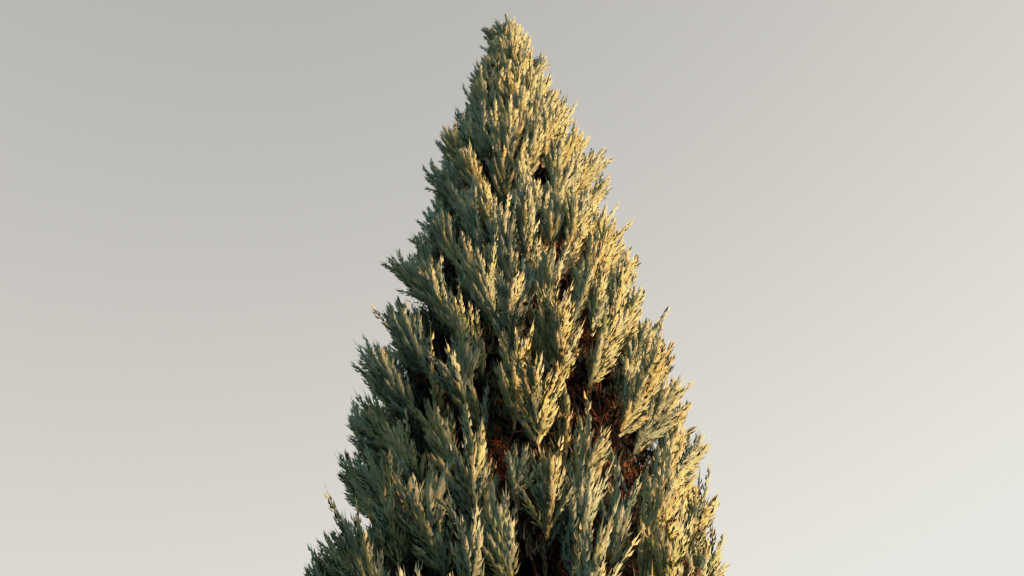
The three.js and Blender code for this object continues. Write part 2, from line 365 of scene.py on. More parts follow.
# The inside that these gaps show is dark from real shade and from the painted shade of the near-black deep
# sprays.
DARK_SPOTS = (  # gaps that only show the dark inside of the crown
    (4.55, -20, 0.035),
    (3.8, -40, 0.045),
    (3.6, -20, 0.04),
    (3.4, -45, 0.045),
    (3.15, -15, 0.045),
    (3, -35, 0.055),
    (2.75, -20, 0.045),
    (2.75, 0, 0.04),
    (2.6, 10, 0.035),
)
SPOT_STRETCH = 1.8  # a gap's height over its width
SPOT_DEPTH = 0.03  # of its middle
SPOT_HEART = 0.5  # share of a gap's radius within which no lobe starts
UP = np.array((0, 0, 1.0))
growth = np.random.default_rng(20)


def unit(v):
    return v / np.maximum(np.linalg.norm(v, axis=-1), 1e-9)[..., None]


def dot(a, b):
    return (a * b).sum(-1)[..., None]


foliage_nodes = sorted(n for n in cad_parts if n.startswith("foliage"))
mass_triangles = [node_triangles(n) for n in foliage_nodes]
all_triangles = np.concatenate(mass_triangles)
mass_of_triangle = np.repeat(np.arange(len(foliage_nodes)), [len(t) for t in mass_triangles])
crown_tree = BVHTree.FromPolygons(
    [Vector(p) for p in all_triangles.reshape(-1, 3)],
    [(3 * i, 3 * i + 1, 3 * i + 2) for i in range(len(all_triangles))],
)


def outward_at(points):
    """Level direction away from the trunk."""
    out = points - stem_centre(points[:, 2])
    out[:, 2] = 0
    return unit(out)


# Points all over the masses' outer faces that no other mass hides, which give the crown's outline.
edges = all_triangles[:, 1:] - all_triangles[:, :1]
crosses = np.cross(edges[:, 0], edges[:, 1])
facing = dot(unit(crosses), outward_at(all_triangles.mean(1)))[:, 0] > OUTER_FACE
areas = np.where(facing, np.linalg.norm(crosses, axis=1) / 2, 0)
count = int(areas.sum() * SURFACE_POINTS_PER_M2)
chosen = growth.choice(len(areas), count, p=areas / areas.sum())
u, v = growth.random((2, count, 1))
u, v = np.where(u + v > 1, 1 - u, u), np.where(u + v > 1, 1 - v, v)
surface_points = all_triangles[chosen, 0] + u * edges[chosen, 0] + v * edges[chosen, 1]
open_air = [
    crown_tree.ray_cast(Vector(p + o * JUST_OFF), Vector(o), OPEN_AIR)[0] is None
    for p, o in zip(surface_points, outward_at(surface_points))
]
surface_points = surface_points[open_air]

# The crown's smooth outline: how far the masses reach at each height.
OUTLINE_STEP = 0.05
OUTLINE_WINDOW = 0.14
OUTLINE_RANK = 0.77  # share of the points at a height that lie inside the outline
LEAST_REACH = 0.3  # nothing is sunk deeper than this share of the outline's radius
RIDGES = 9  # the crown stands out a little more along upright ridges, one of them at the front
RIDGE_REACH = 0.04
point_reach = np.linalg.norm((surface_points - stem_centre(surface_points[:, 2]))[:, :2], axis=1)
outline_heights = np.arange(surface_points[:, 2].min(), surface_points[:, 2].max(), OUTLINE_STEP)
outline_reach = [
    np.quantile(point_reach[np.abs(surface_points[:, 2] - z) < OUTLINE_WINDOW], OUTLINE_RANK)
    for z in outline_heights
]


def on_outline(height, bearing, depth):
    """Points at a depth below the crown's smooth outline."""
    reach = np.interp(height, outline_heights, outline_reach) * (1 + RIDGE_REACH * np.cos(RIDGES * bearing))
    reach = np.maximum(reach - depth, reach * LEAST_REACH)
    return stem_centre(height) + np.stack(
        [reach * np.sin(bearing), -reach * np.cos(bearing), np.zeros_like(reach)], -1
    )


def lobe_scale(height):
    return np.interp(height, SMALL_LOBES, (1, SMALLEST_LOBE))


def spread_heights(count, top):
    """Heights all the way up the crown, each taken as often as the crown is wide there."""
    share_below = np.concatenate([[0], np.cumsum(outline_reach)])
    steps = [*outline_heights, outline_heights[-1] + OUTLINE_STEP]
    return np.minimum(np.interp(growth.random(count) * share_below[-1], share_below, steps), top)


# After the lobes that stand out, the rest are spread evenly: each is put where the room is widest, for
# its size there. A lobe belongs to the mass that it is nearest to.
height, bearing = spread_heights(LOBE_PLACES, TREE_TOP), growth.uniform(-math.pi, math.pi, LOBE_PLACES)
prominent_height, prominent_bearing = np.array(PROMINENT_LOBES).T
height = np.concatenate([prominent_height, height])
bearing = np.concatenate([np.radians(prominent_bearing), bearing])
spread = on_outline(height, bearing, 0) * (1, 1, LOBE_SQUEEZE)
scale = lobe_scale(height)
room = np.full(len(height), np.inf)
lobe_picks = []
for k in range(LOBE_COUNT):
    lobe_picks.append(k if k < len(PROMINENT_LOBES) else int(np.argmax(room / scale)))
    room = np.minimum(room, np.linalg.norm(spread - spread[lobe_picks[-1]], axis=1))
lobe_at = on_outline(height[lobe_picks], bearing[lobe_picks], 0)
lobe_mass = np.array([mass_of_triangle[crown_tree.find_nearest(Vector(p))[2]] for p in lobe_at])

spots = np.array(BROWN_SPOTS + DARK_SPOTS)
spot_places = on_outline(spots[:, 0], np.radians(spots[:, 1]), SPOT_DEPTH)
thin_spots = np.column_stack([spot_places, spots[:, 2]])


def in_thin_spot(points, share):
    away = (points[:, None] - thin_spots[None, :, :3]) / (1, 1, SPOT_STRETCH)
    return (np.linalg.norm(away, axis=2) < thin_spots[:, 3] * share).any(1)


prominent = np.arange(LOBE_COUNT) < len(PROMINENT_LOBES)
kept = prominent | (~in_thin_spot(lobe_at, SPOT_HEART) & (growth.random(LOBE_COUNT) > LOST_LOBES))
lobe_at, lobe_mass = lobe_at[kept], lobe_mass[kept]
lobes = len(lobe_at)
lobe_out = outward_at(lobe_at)
lobe_side = np.cross(UP, lobe_out)
bearing = np.arctan2(lobe_out[:, 0], -lobe_out[:, 1])
lobe_size = growth.uniform(*LOBE_SIZES, lobes) * lobe_scale(lobe_at[:, 2])
branch_end = lobe_at[:, 2] + LOBE_LENGTH * lobe_size * LOBE_ABOVE_PLACE
branch_end = np.minimum(branch_end, TREE_TOP - LOBE_CLEARANCE)
branch_foot = branch_end - LOBE_LENGTH * lobe_size
standing_out = growth.normal(0, LOBE_DEPTH_SPREAD, lobes)
standing_out += PROMINENCE * prominent[kept]
twist = growth.normal(0, SWAY, lobes)
end_depth = np.interp(branch_end, NARROWING, LOBE_END_DEPTHS)
lobe_foot = on_outline(branch_foot, bearing, LOBE_FOOT_DEPTH * lobe_size + end_depth)
lobe_end = on_outline(branch_end, bearing + twist, end_depth - standing_out)
lobe_end[:, :2] = np.clip(
    lobe_end[:, :2], np.array(cad_box[0])[:2] + LOBE_MARGIN, np.array(cad_box[1])[:2] - LOBE_MARGIN
)
lobe_size = lobe_size[:, None]
lobe_length = np.linalg.norm(lobe_end - lobe_foot, axis=1)[:, None]
lobe_axis = unit(lobe_end - lobe_foot)

# The leader is the topmost lobe, on the trunk's own line.
LEADER_LENGTH = 0.2
LEADER_BELOW_TIP = 0.32
leader_foot = stem_centre(TREE_TOP - LEADER_BELOW_TIP)
leader_axis = unit(stem_centre(TREE_TOP) - leader_foot)

# ---------------------------------------------------------------------------------------------------
# Plumes
# A lobe is a bunch of feathery plumes that fan out from its branch, narrow at its foot and ragged at its
# top. The plumes face outwards and sideways, because the inner side of a lobe gets no light.
# ---------------------------------------------------------------------------------------------------
PLUMES_PER_LOBE = 25
PLUMES_ON_LEADER = 40
LEADER_SIZE = 0.3
PLUME_LENGTH = 0.108
PLUME_LENGTHS = (0.75, 1.2)  # the shortest and the longest over that
PLUME_GROWTH = 0.9, 0.25  # length at the branch's foot over that, and how much it gains by the tip
PLUME_PLACE_SPREAD = 0.02
PLUME_ANGLES = (math.radians(34), math.radians(20))  # from the branch, at its foot and at its tip
ANGLE_SPREAD = (0.35, 1.25)
PLUME_SPAN = math.radians(150)  # plumes leave the branch up to this far round from the outward side
SPAN_SPREAD = 0.12
GOLDEN_TURN = math.pi * (3 - math.sqrt(5))
PLUME_CURVE = 0.12  # how far a plume's tip bends back up, as a share of its length
LONG_PLUMES = 0.14  # share of the plumes that outgrow the rest
LONGER_BY = 1.35
END_SHOOT = 0.28  # length of the shoot that ends a plume, as a share of the plume's own
FURTHEST_TIPS = 0.01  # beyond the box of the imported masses
CUT_BACK = 1.5  # over what a plume's tip is too far out by
MOST_CUT = 0.6  # share of a plume's length


def turned(axis, first, angle, spin):
    """Directions at an angle from axis, spun about it from the direction first."""
    first = unit(first - axis * dot(first, axis))
    second = np.cross(axis, first)
    return unit(axis * np.cos(angle) + (first * np.cos(spin) + second * np.sin(spin)) * np.sin(angle))


def plumes_on(foot, axis, out, length, size, mass, number, span):
    """Plumes along each branch of a set: their feet, directions, lengths, branches and masses."""
    count = len(foot)
    order = np.tile(np.arange(number), count)
    along = ((order + 0.5) / number)[:, None]
    along = along + growth.normal(0, PLUME_PLACE_SPREAD, along.shape)
    of = np.repeat(np.arange(count), number)
    spin = (order[:, None] * GOLDEN_TURN + growth.uniform(0, 2 * math.pi, count)[of, None]) % (2 * math.pi)
    spin = (spin / math.pi - 1) * span + growth.normal(0, SPAN_SPREAD, spin.shape)
    angle = PLUME_ANGLES[0] + (PLUME_ANGLES[1] - PLUME_ANGLES[0]) * along
    angle = angle * growth.uniform(*ANGLE_SPREAD, angle.shape)
    at = foot[of] + axis[of] * length[of] * along
    towards = turned(axis[of], out[of], angle, spin)
    long = PLUME_LENGTH * size[of] ** 0.5 * (PLUME_GROWTH[0] + PLUME_GROWTH[1] * along)
    long = long * growth.uniform(*PLUME_LENGTHS, along.shape)
    long[growth.random(len(long)) < LONG_PLUMES] *= LONGER_BY
    return at, towards, long, of, mass[of]


lobe_plumes = plumes_on(
    lobe_foot, lobe_axis, lobe_out, lobe_length, lobe_size, lobe_mass, PLUMES_PER_LOBE, PLUME_SPAN
)
leader_plumes = plumes_on(
    leader_foot[None], leader_axis[None], np.array([[0, -1.0, 0]]), np.array([[LEADER_LENGTH]]),
    np.array([[LEADER_SIZE]]), np.array([foliage_nodes.index("foliage_top")]), PLUMES_ON_LEADER, math.pi,
)
leader_plumes[3][:] = lobes
plume_at, plume_towards, plume_length, plume_lobe, plume_mass = (
    np.concatenate(parts) for parts in zip(lobe_plumes, leader_plumes)
)
# A plume that would reach too far beyond the crown's widest places is cut back.
tip = plume_at + plume_towards * plume_length * (1 + END_SHOOT)
beyond = np.maximum(tip - np.array(cad_box[1]), np.array(cad_box[0]) - tip)[:, :2].max(1)[:, None]
plume_length -= np.clip((beyond - FURTHEST_TIPS) * CUT_BACK, 0, plume_length * MOST_CUT)
kept = ~in_thin_spot(plume_at + plume_towards * plume_length * 0.5, 1)
plume_at, plume_towards, plume_length = plume_at[kept], plume_towards[kept], plume_length[kept]
plume_lobe, plume_mass = plume_lobe[kept], plume_mass[kept]
plumes = len(plume_at)
plume_up = unit(UP - plume_towards * dot(plume_towards, UP))


def plume_point(which, share):
    """A point on the curved line of a plume, and the line's direction there."""
    length = plume_length[which]
    bend = plume_up[which] * PLUME_CURVE
    point = plume_at[which] + length * (plume_towards[which] * share + bend * share**2)
    return point, unit(plume_towards[which] + 2 * bend * share)


# Colour is dealt out by spray: every lobe has its own leaning, and each plume a tint of leaf and of tip.
LEAF_TINTS = {
    "leaf_blue_green": (0.095, 0.165, 0.12),
    "leaf_grey_green": (0.13, 0.195, 0.125),
    "leaf_green": (0.14, 0.205, 0.1),
    "leaf_olive": (0.18, 0.22, 0.1),
}
TIP_TINTS = {
    "tip_grey_green": (0.16, 0.22, 0.15),
    "tip_straw": (0.2, 0.235, 0.13),
}


LEAF_ROUGHNESS = 0.7
LEAF_GLOSS = 0.1
TONE_SPREAD = 0.6  # of a lobe, and of a plume within its lobe
TIP_TONE_SPREAD = 0.5
TONE_STEPS = (-0.7, 0, 0.8)  # between one tint of leaf and the next


def plain_material(name, colour, roughness):
    material = bpy.data.materials.new(name)
    material.use_nodes = True
    surface_shader = material.node_tree.nodes["Principled BSDF"]
    surface_shader.inputs["Base Color"].default_value = (*colour, 1)
    surface_shader.inputs["Roughness"].default_value = roughness
    surface_shader.inputs["Specular IOR Level"].default_value = LEAF_GLOSS
    return material


tints = {**LEAF_TINTS, **TIP_TINTS}.items()
leaf_materials = [plain_material(name, colour, LEAF_ROUGHNESS) for name, colour in tints]
lobe_tone = growth.normal(0, TONE_SPREAD, lobes + 1)
tone = lobe_tone[plume_lobe] + growth.normal(0, TONE_SPREAD, plumes)
plume_leaf = np.digitize(tone, TONE_STEPS)
plume_tip = len(LEAF_TINTS) + (tone + growth.normal(0, TIP_TONE_SPREAD, plumes) > 0).astype(int)

# ---------------------------------------------------------------------------------------------------
# Leafy shoots
# A plume is a thin green stem with short side shoots all round it, which point forward like the barbs of
# a feather. Each shoot is closely covered in tiny leaves, and made as one slim blade with a folded middle.
# ---------------------------------------------------------------------------------------------------
SHOOTS_PER_PLUME = 20
SHOOTS_FROM, SHOOTS_OVER = 0.12, 0.85  # share of the plume below the first shoot, and that bears shoots
SHOOT_PLACE_SPREAD = 0.012
SHOOT_LENGTH = 0.031
SHOOT_SHORTENING = 1.15, 0.4  # length at the plume's foot over that, and how much it loses by the tip
SHOOT_HALF_WIDTH = 0.0042
SHOOT_WIDTHS = (0.85, 1.15)
SHOOT_SPREAD = (0.75, 1.25)  # of the lengths and of the angles
SHOOT_WIDEST = 0.35  # share of its length
SHOOT_FOLD = 1  # height of the sides over the middle, over their distance from it
SHOOT_ROLL = math.radians(30)
SHOOT_ANGLES = (math.radians(28), math.radians(16))  # from the stem, at the plume's foot and at its tip
SHOOT_CORNERS, SHOOT_TRIANGLES = 4, np.array([(0, 1, 3), (0, 3, 2)])
STEM_RADIUS = 0.0045
STEM_SIDES = 3
STEM_RINGS = (0, 0.55)  # shares of the plume's length
STEM_END = 0.95
END_SHOOTS = (0.7, 1.3)
YOUNG_SHARE = 0.7  # shoots beyond this share of the plume are young and pale


def joined_mesh(name, corners, triangles, slots, materials, smooth=False, normals=None):
    """One mesh object from arrays, with a material slot number for each triangle.

    With normals of its corners' own, each triangle's front is turned to the side they point to.
    """
    if normals is not None:
        a, b, c = (corners[triangles[:, k]] for k in range(3))
        inward = (np.cross(b - a, c - a) * normals[triangles].sum(1)).sum(1) < 0
        triangles = np.where(inward[:, None], triangles[:, ::-1], triangles)
    mesh = bpy.data.meshes.new(name)
    mesh.vertices.add(len(corners))
    mesh.vertices.foreach_set("co", np.ascontiguousarray(corners, np.float32).ravel())
    mesh.loops.add(len(triangles) * 3)
    mesh.loops.foreach_set("vertex_index", np.ascontiguousarray(triangles, np.int32).ravel())
    mesh.polygons.add(len(triangles))
    mesh.polygons.foreach_set("loop_start", np.arange(0, len(triangles) * 3, 3, dtype=np.int32))
    for material in materials:
        mesh.materials.append(material)
    mesh.polygons.foreach_set("material_index", np.ascontiguousarray(slots, np.int32))
    mesh.polygons.foreach_set("use_smooth", np.full(len(triangles), smooth))
    mesh.update(calc_edges=True)
    if normals is not None:
        mesh.normals_split_custom_set_from_vertices(normals)
    obj = bpy.data.objects.new(name, mesh)
    bpy.context.scene.collection.objects.link(obj)
    return obj


def repeated(triangles, corners_each, copies):
    return (triangles[None] + np.arange(copies)[:, None, None] * corners_each).reshape(-1, 3)


of = np.repeat(np.arange(plumes), SHOOTS_PER_PLUME)
order = np.tile(np.arange(SHOOTS_PER_PLUME), plumes)[:, None]
share = SHOOTS_FROM + SHOOTS_OVER * (order + 0.5) / SHOOTS_PER_PLUME
share = share + growth.normal(0, SHOOT_PLACE_SPREAD, (len(of), 1))
angle = SHOOT_ANGLES[0] + (SHOOT_ANGLES[1] - SHOOT_ANGLES[0]) * share
angle = angle * growth.uniform(*SHOOT_SPREAD, angle.shape)
spin = order * GOLDEN_TURN + growth.uniform(0, 2 * math.pi, plumes)[of, None]
shoot_at, line = plume_point(of, share)
shoot_towards = turned(line, plume_up[of], angle, spin)
shoot_length = SHOOT_LENGTH * (SHOOT_SHORTENING[0] - SHOOT_SHORTENING[1] * share)
shoot_length = shoot_length * growth.uniform(*SHOOT_SPREAD, share.shape)
half_width = SHOOT_HALF_WIDTH * growth.uniform(*SHOOT_WIDTHS, share.shape)

# Each blade has a foot, two sides at its widest and a tip. It lies round the stem, more or less.
flat = unit(np.cross(shoot_towards, line))
roll = growth.normal(0, SHOOT_ROLL, share.shape)
across = flat * np.cos(roll) + np.cross(shoot_towards, flat) * np.sin(roll)
folded = np.cross(shoot_towards, across) * SHOOT_FOLD
widest = shoot_at + shoot_towards * shoot_length * SHOOT_WIDEST
shoot_corners = np.stack(
    [
        shoot_at,
        widest + (folded + across) * half_width,
        widest + (folded - across) * half_width,
        shoot_at + shoot_towards * shoot_length,
    ],
    axis=1,
)

# Real shoots are furry with tiny leaves, so light falls on a plume and on a lobe as on a soft rounded
# body. The normals of the blades lean out from the line of their plume and from the axis of their lobe.
LOBE_ROUNDNESS = 0.8
CROWN_ROUNDNESS = 0.5  # how much they lean away from the trunk
PLUME_ROUNDNESS = 0.6
BLADE_ROUNDNESS = 0.4
axis_foot = np.vstack([lobe_foot, leader_foot])
axis_line = np.vstack([lobe_axis, leader_axis])
crown_out = np.vstack([lobe_out, np.zeros(3)])


def soft_normals(points, lobe, side):
    from_axis = points - axis_foot[lobe]
    from_axis -= axis_line[lobe] * dot(from_axis, axis_line[lobe])
    return unit(
        unit(from_axis) * LOBE_ROUNDNESS + crown_out[lobe] * CROWN_ROUNDNESS + side * PLUME_ROUNDNESS
    )


shoot_side = unit(shoot_towards - line * dot(shoot_towards, line))
shoot_normal = soft_normals(widest, plume_lobe[of], shoot_side)
shoot_normals = np.stack(
    [
        shoot_normal,
        unit(shoot_normal + across * BLADE_ROUNDNESS),
        unit(shoot_normal - across * BLADE_ROUNDNESS),
        shoot_normal,
    ],
    axis=1,
)
shoot_slots = np.where(share[:, 0] > YOUNG_SHARE, plume_tip[of], plume_leaf[of])

# The stem of each plume bends once, and ends in its own, longest shoot.
every_plume = np.arange(plumes)
turn = 2 * math.pi * np.arange(STEM_SIDES)[None, :, None] / STEM_SIDES
stem_corners = []
for share_here in STEM_RINGS:
    point, line = plume_point(every_plume, share_here)
    first = unit(np.cross(line, UP + 0.1))[:, None]
    second = np.cross(line[:, None], first)
    stem_corners.append(point[:, None] + STEM_RADIUS * (first * np.cos(turn) + second * np.sin(turn)))
end_point, end_line = plume_point(every_plume, STEM_END)
end_tip = end_point + end_line * plume_length * END_SHOOT * growth.uniform(*END_SHOOTS, (plumes, 1))
stem_corners = np.concatenate([*stem_corners, end_tip[:, None]], axis=1)
corners_per_stem = stem_corners.shape[1]
stem_triangles = []
for i in range(STEM_SIDES):
    j = (i + 1) % STEM_SIDES
    above_i, above_j = i + STEM_SIDES, j + STEM_SIDES
    stem_triangles += [(i, j, above_j), (i, above_j, above_i), (above_i, above_j, corners_per_stem - 1)]
stem_triangles = np.array(stem_triangles)
stem_normals = soft_normals(plume_at + plume_towards * plume_length * 0.5, plume_lobe, 0)
stem_normals = np.repeat(stem_normals[:, None], corners_per_stem, axis=1)

for m, node in enumerate(foliage_nodes):
    mine = np.flatnonzero(plume_mass[of] == m)
    stems = np.flatnonzero(plume_mass == m)
    shoot_faces = repeated(SHOOT_TRIANGLES, SHOOT_CORNERS, len(mine))
    stem_faces = repeated(stem_triangles, corners_per_stem, len(stems)) + len(mine) * SHOOT_CORNERS
    stem_slots = np.repeat(plume_leaf[stems], len(stem_triangles))
    leaves = joined_mesh(
        node.replace("foliage", "leaves"),
        np.concatenate([shoot_corners[mine].reshape(-1, 3), stem_corners[stems].reshape(-1, 3)]),
        np.concatenate([shoot_faces, stem_faces]),
        np.concatenate([np.repeat(shoot_slots[mine], len(SHOOT_TRIANGLES)), stem_slots]),
        leaf_materials,
        smooth=True,
        normals=np.concatenate([shoot_normals[mine].reshape(-1, 3), stem_normals[stems].reshape(-1, 3)]),
    )
    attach(leaves, "root")
    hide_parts(node)

# ---------------------------------------------------------------------------------------------------
# Limbs and branches
# From the end of its bough, or from the trunk, a limb runs up inside each mass. Branches leave it and
# run up into the lobes. All of it is living wood with thin bark.
# ---------------------------------------------------------------------------------------------------
LIMB_RADII = (0.0105, 0.004)
BRANCH_RADII = (0.0048, 0.0016)
LIMB_STEPS = 14
LIMB_SIDES = 8
BRANCH_STEPS = 5
BRANCH_SIDES = 5
LIMB_START_DROP = 0.1  # an upper limb leaves the trunk this far below its mass
LOWEST_LIMB = 0.2
LIMB_OUT, LIMB_UP = 0.6, 0.8  # the direction in which it leaves
LIMB_END = 0.6  # a limb ends amid the part of its mass that is above this share of its height
BOUGH_END = 0.85  # the outermost corners of a bough are beyond this share of them
BOUGH_MIDDLE = 0.45, 0.6  # and its middle ones lie between these
BRANCH_RISE = 0.2  # a branch leaves its limb this far below the lobe's foot
BRANCH_OUT, BRANCH_UP = 0.5, 0.7  # the direction in which it leaves
# The wood's brown is darkened further as painted shade, so limbs and branches stay dark where they show
# between the lobes.
YOUNG_BARK_AND_SHADE = (0.02, 0.012, 0.008)


def tubes(paths, radii, sides):
    """Closed tapering tubes along many paths of the same number of points."""
    count, steps = paths.shape[:2]
    along = unit(np.gradient(paths, axis=1))
    helper = np.where(np.abs(along[:, :1, 0:1]) > 0.8, (0, 1.0, 0), (1.0, 0, 0))
    first = unit(np.cross(along, helper))
    second = np.cross(along, first)
    turn = 2 * math.pi * np.arange(sides) / sides
    rings = (
        paths[:, :, None]
        + radii[:, :, None, None] * first[:, :, None] * np.cos(turn)[:, None]
        + radii[:, :, None, None] * second[:, :, None] * np.sin(turn)[:, None]
    )
    triangles = []
    for k in range(steps - 1):
        for i in range(sides):
            a, b = k * sides + i, k * sides + (i + 1) % sides
            triangles += [(a, b, b + sides), (a, b + sides, a + sides)]
    for i in range(1, sides - 1):
        top = (steps - 1) * sides
        triangles += [(0, i + 1, i), (top, top + i, top + i + 1)]
    return rings.reshape(-1, 3), repeated(np.array(triangles), steps * sides, count)


def curve(start, start_direction, end, end_direction, steps):
    """Smooth paths from start to end that leave and arrive in the given directions."""
    t = np.linspace(0, 1, steps)[None, :, None]
    reach = np.linalg.norm(end - start, axis=1)[:, None]
    a, b = start_direction * reach, end_direction * reach
    h1, h2 = 2 * t**3 - 3 * t**2 + 1, t**3 - 2 * t**2 + t
    h3, h4 = -2 * t**3 + 3 * t**2, t**3 - t**2
    return h1 * start[:, None] + h2 * a[:, None] + h3 * end[:, None] + h4 * b[:, None]


limb_starts, limb_directions, limb_ends = [], [], []
for m, node in enumerate(foliage_nodes):
    corners = mass_triangles[m].reshape(-1, 3)
    low, high = corners[:, 2].min(), corners[:, 2].max()
    bough = node.replace("foliage", "bough")
    if bough in bough_nodes:
        points = node_points(bough)
        reach = np.linalg.norm((points - stem_centre(points[:, 2]))[:, :2], axis=1)
        far = points[reach > np.quantile(reach, BOUGH_END)].mean(0)
        near, beyond = np.quantile(reach, BOUGH_MIDDLE)
        mid = points[(reach > near) & (reach < beyond)].mean(0)
        limb_starts.append(far)
        limb_directions.append(unit(far - mid))
    else:
        start = stem_centre(max(low - LIMB_START_DROP, LOWEST_LIMB))
        limb_starts.append(start)
        limb_directions.append(unit(outward_at(corners.mean(0)[None])[0] * LIMB_OUT + UP * LIMB_UP))
    limb_ends.append(corners[corners[:, 2] > low + (high - low) * LIMB_END].mean(0))
limb_starts, limb_directions, limb_ends = map(np.array, (limb_starts, limb_directions, limb_ends))
limb_paths = curve(limb_starts, limb_directions, limb_ends, np.tile(UP, (len(limb_ends), 1)), LIMB_STEPS)
taper = np.linspace(0, 1, LIMB_STEPS)
limb_radii = np.tile(LIMB_RADII[0] + (LIMB_RADII[1] - LIMB_RADII[0]) * taper, (len(limb_paths), 1))
limb_mesh = tubes(limb_paths, limb_radii, LIMB_SIDES)

nearest = limb_paths[lobe_mass]
height_gap = np.abs(nearest[:, :, 2] - (lobe_foot[:, 2:] - BRANCH_RISE))
joint = height_gap.argmin(1)
branch_start = nearest[np.arange(lobes), joint]
branch_out = unit(outward_at(lobe_foot) * BRANCH_OUT + UP * BRANCH_UP)
branch_paths = np.concatenate(
    [
        curve(branch_start, branch_out, lobe_foot, lobe_axis, BRANCH_STEPS)[:, :-1],
        lobe_foot[:, None] + (lobe_axis * lobe_length)[:, None] * np.linspace(0, 1, 3)[None, :, None],
    ],
    axis=1,
)
taper = np.linspace(0, 1, branch_paths.shape[1])
branch_radii = BRANCH_RADII[0] + (BRANCH_RADII[1] - BRANCH_RADII[0]) * taper
branch_mesh = tubes(branch_paths, np.tile(branch_radii, (lobes, 1)), BRANCH_SIDES)

wood_materials = [plain_material("young_bark_and_shade", YOUNG_BARK_AND_SHADE, 0.85)]
for name, (corners, triangles) in (("limbs", limb_mesh), ("branches", branch_mesh)):
    wood = joined_mesh(name, corners, triangles, np.zeros(len(triangles)), wood_materials, smooth=True)
    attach(wood, "root")

# ---------------------------------------------------------------------------------------------------
# Shaded and dead sprays
# Between the lobes the living sprays are sparse, in deep shade, and their dark green is painted shade.
# Behind them old sprays have died for want of light. The deep ones are near-black with painted shade,
# and close the crown. The outer ones hang on as rust-brown tufts.
# ---------------------------------------------------------------------------------------------------
DEEP_TUFTS = 16000
DEEP_DEPTHS = (0.11, 0.32)  # below the crown's surface
DEEP_BELOW_TOP = 0.85  # the crown is too narrow for them above this
DEEP_LEAVES = 5
DEEP_LEAF = (0.045, 0.013)  # length and width of the outermost
DEEPEST_SCALE = 3  # size of the deepest, which stay in the dark, over that of the outermost
DEEP_LEAN = -0.2  # they lean inwards
DEEP_SPREAD = 0.45
# The inner living leaves get a very dark green, which is painted shade.
INNER_TUFTS = 9000  # of living leaves
INNER_DEPTHS = (0.05, 0.13)
INNER_LEAVES = 8
INNER_LEAF = (0.034, 0.006)
INNER_LEAN = 0.4
INNER_SPREAD = 0.4
TUFTS_PER_LOBE = 3
TUFTS_ALONG_LOBE = (-0.2, 0.35)  # from its foot, as shares of its branch
TUFTS_ASIDE = 0.02
TUFTS_IN_BROWN_SPOT = 70
SPOT_TUFT_SPREAD = 0.6  # over the spot's radius
SPOT_TUFT_DEPTHS = (0.02, 0.09)
OUTER_LEAVES = 9
OUTER_LEAF = (0.019, 0.0034)
OUTER_LEAN = 0.3  # upwards
OUTER_SPREAD = 0.9
OUTER_SHARES = (0.5, 0.3, 0.2)  # of the first three tints
SPRAY_ROUGHNESS = 0.8
SPRAY_TINTS = {
    "dead_rust": (0.065, 0.024, 0.007),
    "dead_brown": (0.026, 0.0095, 0.0035),
    "dead_tan": (0.09, 0.045, 0.018),
    # near-black, partly dead foliage and mostly painted shade, so the crown's inside looks dark even where
    # light falls on it
    "dead_and_painted_shade": (0.002, 0.0013, 0.001),
    # the inner living leaves' green, darkened as painted shade
    "painted_shade_green": (0.016, 0.026, 0.014),
}
PAINTED_SHADE_SLOT, GREEN_SLOT = 3, 4


def tufts(at, towards, facing, leaves, size, spread):
    """Fans of narrow leaves, scattered near each place, which more or less face one way.

    The size is a leaf's length and width, for all the fans or for each.
    """
    count = len(at)
    way = unit(towards[:, None] + growth.normal(0, spread, (count, leaves, 3)))
    across = unit(np.cross(way, facing[:, None] + growth.normal(0, 0.5, (count, leaves, 3))))
    size = np.broadcast_to(size, (count, 2))[:, None]
    long = size[..., :1] * growth.uniform(0.6, 1.4, (count, leaves, 1))
    half = size[..., 1:] / 2
    foot = at[:, None] + growth.normal(0, 0.3, (count, leaves, 3)) * size[..., :1]
    corners = np.stack([foot - across * half, foot + across * half, foot + way * long], axis=2)
    return corners.reshape(-1, 3)


heights = spread_heights(DEEP_TUFTS, TREE_TOP - DEEP_BELOW_TOP)
turns = growth.uniform(0, 2 * math.pi, DEEP_TUFTS)
depths = growth.uniform(*DEEP_DEPTHS, DEEP_TUFTS)
deep_at = on_outline(heights, turns, depths)
deep_out = outward_at(deep_at)
deep_size = np.interp(depths, DEEP_DEPTHS, (1, DEEPEST_SCALE))[:, None] * DEEP_LEAF
deep_corners = tufts(deep_at, UP + deep_out * DEEP_LEAN, deep_out, DEEP_LEAVES, deep_size, DEEP_SPREAD)
deep_slots = np.full(DEEP_TUFTS * DEEP_LEAVES, PAINTED_SHADE_SLOT)

heights = spread_heights(INNER_TUFTS, TREE_TOP - DEEP_BELOW_TOP)
turns = growth.uniform(0, 2 * math.pi, INNER_TUFTS)
inner_at = on_outline(heights, turns, growth.uniform(*INNER_DEPTHS, INNER_TUFTS))
inner_at = inner_at[~in_thin_spot(inner_at, 1)]
inner_out = outward_at(inner_at)
inner_towards = UP + inner_out * INNER_LEAN
inner_corners = tufts(inner_at, inner_towards, inner_out, INNER_LEAVES, INNER_LEAF, INNER_SPREAD)
inner_slots = np.full(len(inner_at) * INNER_LEAVES, GREEN_SLOT)

